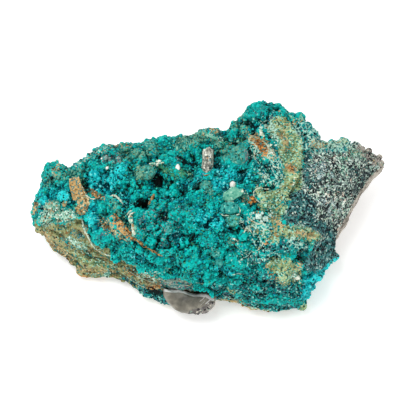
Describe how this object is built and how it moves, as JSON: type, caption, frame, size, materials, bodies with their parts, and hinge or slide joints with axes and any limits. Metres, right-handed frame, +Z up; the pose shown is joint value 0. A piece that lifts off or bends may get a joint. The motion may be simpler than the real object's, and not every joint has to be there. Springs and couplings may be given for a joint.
{
  "type": "chrysocolla specimen",
  "caption": "Broken hand specimen: a turquoise botryoidal chrysocolla crust on olive-brown host rock, with a grey chalcedony lump and a small quartz prism, lying on its flat back.",
  "frame": {"origin": "on the flat broken back that the stone lies on, near the middle of its footprint", "axes": "+X along the stone's length towards its bare-rock end, +Y towards its far edge, +Z up, out of the crusted display face"},
  "size_m": [0.1093, 0.064, 0.0382],
  "materials": {
    "host_rock": "broken weathered rock, dull and granular",
    "chrysocolla": "waxy botryoidal mineral crust",
    "chalcedony": "smooth grey translucent chalcedony",
    "quartz": "dusty tan quartz faces"
  },
  "bodies": {
    "root": {"host_rock": "host_rock", "chrysocolla_crust": "chrysocolla", "chalcedony_lump": "chalcedony", "quartz_prism": "quartz"}
  },
  "joints": []
}
